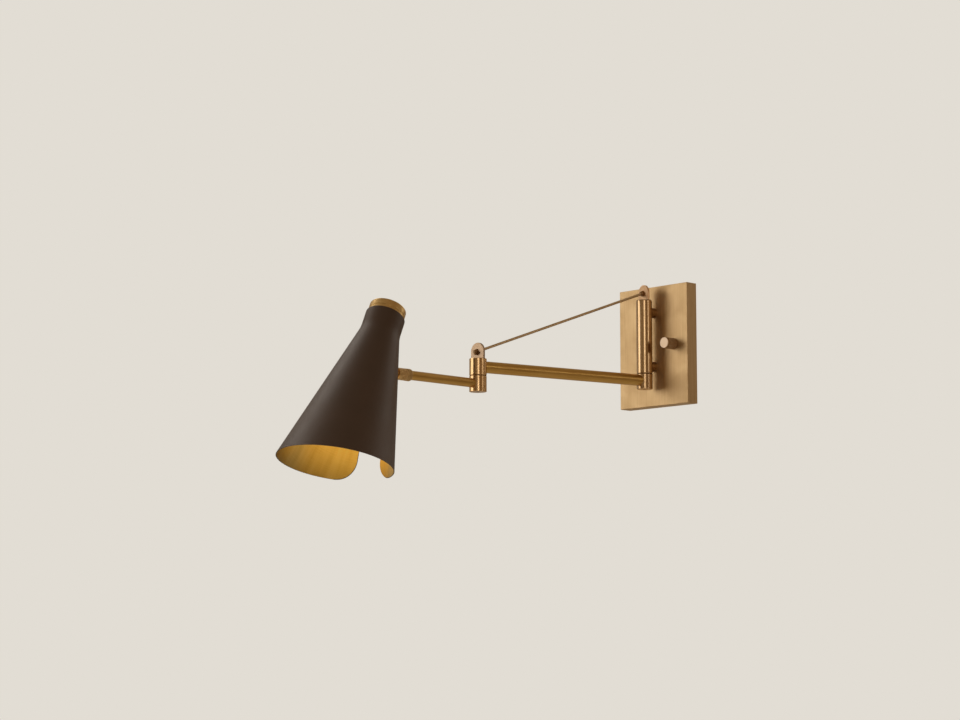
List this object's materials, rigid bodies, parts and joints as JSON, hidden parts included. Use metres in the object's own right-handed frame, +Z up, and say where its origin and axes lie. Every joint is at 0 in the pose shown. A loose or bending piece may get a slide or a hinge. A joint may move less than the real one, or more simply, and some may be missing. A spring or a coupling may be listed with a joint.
{
  "type": "swing arm wall lamp",
  "caption": "Wall lamp with a rectangular backplate, a braced swing arm with a stay rod, a second turning arm and a tilting notched cone shade.",
  "frame": {"origin": "centre of the backplate's back face, on the wall", "axes": "+X to the right when facing the wall, -Y out into the room, +Z up"},
  "size_m": [0.1518, 0.5895, 0.2687],
  "materials": {
    "brass": "satin",
    "plain_steel": "satin",
    "bearing_plastic": "matte",
    "green_screw": "gloss",
    "case_plastic": "matte",
    "bronze_paint": "satin",
    "opal_glass": "satin",
    "bulb_metal": "satin"
  },
  "bodies": {
    "wall_bracket": {"backplate": "brass", "mounting_strap": "plain_steel", "strap_ground_screw": "green_screw", "backplate_screws": "plain_steel", "dimmer_body": "case_plastic", "dimmer_nut": "plain_steel", "standoff_upper": "brass", "standoff_lower": "brass", "standoff_nipple": "plain_steel", "standoff_nut": "plain_steel", "standoff_screw": "plain_steel", "hinge_barrel": "brass", "upper_bush": "bearing_plastic", "lower_bush": "bearing_plastic"},
    "dimmer_knob": {"knob": "brass", "knob_screw": "plain_steel", "dimmer_shaft": "plain_steel"},
    "main_arm": {"pivot_shaft": "plain_steel", "arm_knuckle": "brass", "rear_washer": "bearing_plastic", "rear_end_plug": "brass", "rear_tab": "brass", "rear_tab_pin": "plain_steel", "main_arm_tube": "brass", "stay_rod": "brass", "stay_nut_rear": "brass", "stay_nut_front": "brass", "front_upper_barrel": "brass", "front_bush": "bearing_plastic", "front_barrel_plug": "brass", "front_tab": "brass"},
    "forearm": {"front_shaft": "plain_steel", "front_washer": "bearing_plastic", "front_lower_barrel": "brass", "front_shaft_screw": "plain_steel", "front_end_plug": "brass", "forearm_tube": "brass", "swivel_ring": "brass", "swivel_bush": "bearing_plastic"},
    "swivel": {"swivel_collar": "brass", "swivel_spindle": "plain_steel", "swivel_eye": "brass"},
    "shade_head": {"tilt_yoke": "brass", "tilt_pin": "plain_steel", "tilt_nut": "brass", "socket_cup": "brass", "cup_nipple": "plain_steel", "cup_spacer": "brass", "cup_locknut": "plain_steel", "shade": "bronze_paint", "shade_cap": "brass", "lampholder": "case_plastic", "screw_shell": "brass", "contact_spring": "brass", "bulb_glass": "opal_glass", "bulb_base": "bulb_metal"}
  },
  "joints": [
    {"name": "main_arm_swing", "type": "hinge", "parent": "wall_bracket", "child": "main_arm", "pos_m": [0, -0.0345, 0], "axis": [0, 0, 1], "range_deg": [-75, 88]},
    {"name": "forearm_swing", "type": "hinge", "parent": "main_arm", "child": "forearm", "pos_m": [-0.04856, -0.27974, -0.0655], "axis": [0, 0, 1], "range_deg": [-105, 80]},
    {"name": "shade_swivel", "type": "hinge", "parent": "forearm", "child": "swivel", "pos_m": [-0.04646, -0.40022, -0.0655], "axis": [0.0175, -0.9998, 0], "range_deg": [-90, 90]},
    {"name": "shade_tilt", "type": "hinge", "parent": "swivel", "child": "shade_head", "pos_m": [-0.04591, -0.43122, -0.0655], "axis": [-0.9913, -0.0173, -0.1306], "range_deg": [-50, 20]},
    {"name": "dimmer_turn", "type": "hinge", "parent": "wall_bracket", "child": "dimmer_knob", "pos_m": [0.0338, -0.0175, 0], "axis": [0, -1, 0], "range_deg": [0, 270]}
  ]
}
